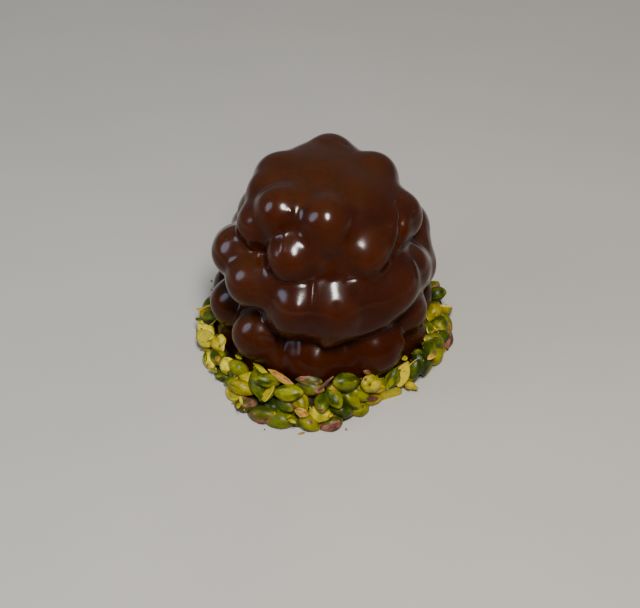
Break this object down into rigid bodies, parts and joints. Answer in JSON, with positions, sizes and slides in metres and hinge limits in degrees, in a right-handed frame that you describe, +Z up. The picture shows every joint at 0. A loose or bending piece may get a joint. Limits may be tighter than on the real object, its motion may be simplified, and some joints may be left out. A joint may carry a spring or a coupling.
{
  "type": "profiterole mound",
  "caption": "Tall mound of small cream puffs under a poured, glossy dark chocolate glaze, ringed at the foot with a heap of green pistachio kernels.",
  "frame": {"origin": "centre of the footprint, on the surface the mound stands on", "axes": "+Z up; -Y is the front, the side that the picture shows; +X is to the right seen from the front"},
  "size_m": [0.1506, 0.1566, 0.1233],
  "materials": {
    "chocolate_glaze": "smooth, glossy dark chocolate glaze",
    "pistachio": "satin green kernels with yellow splits and purple-brown skin"
  },
  "bodies": {
    "root": {"glazed_mound": "chocolate_glaze", "pistachio_ring": "pistachio"}
  },
  "joints": []
}
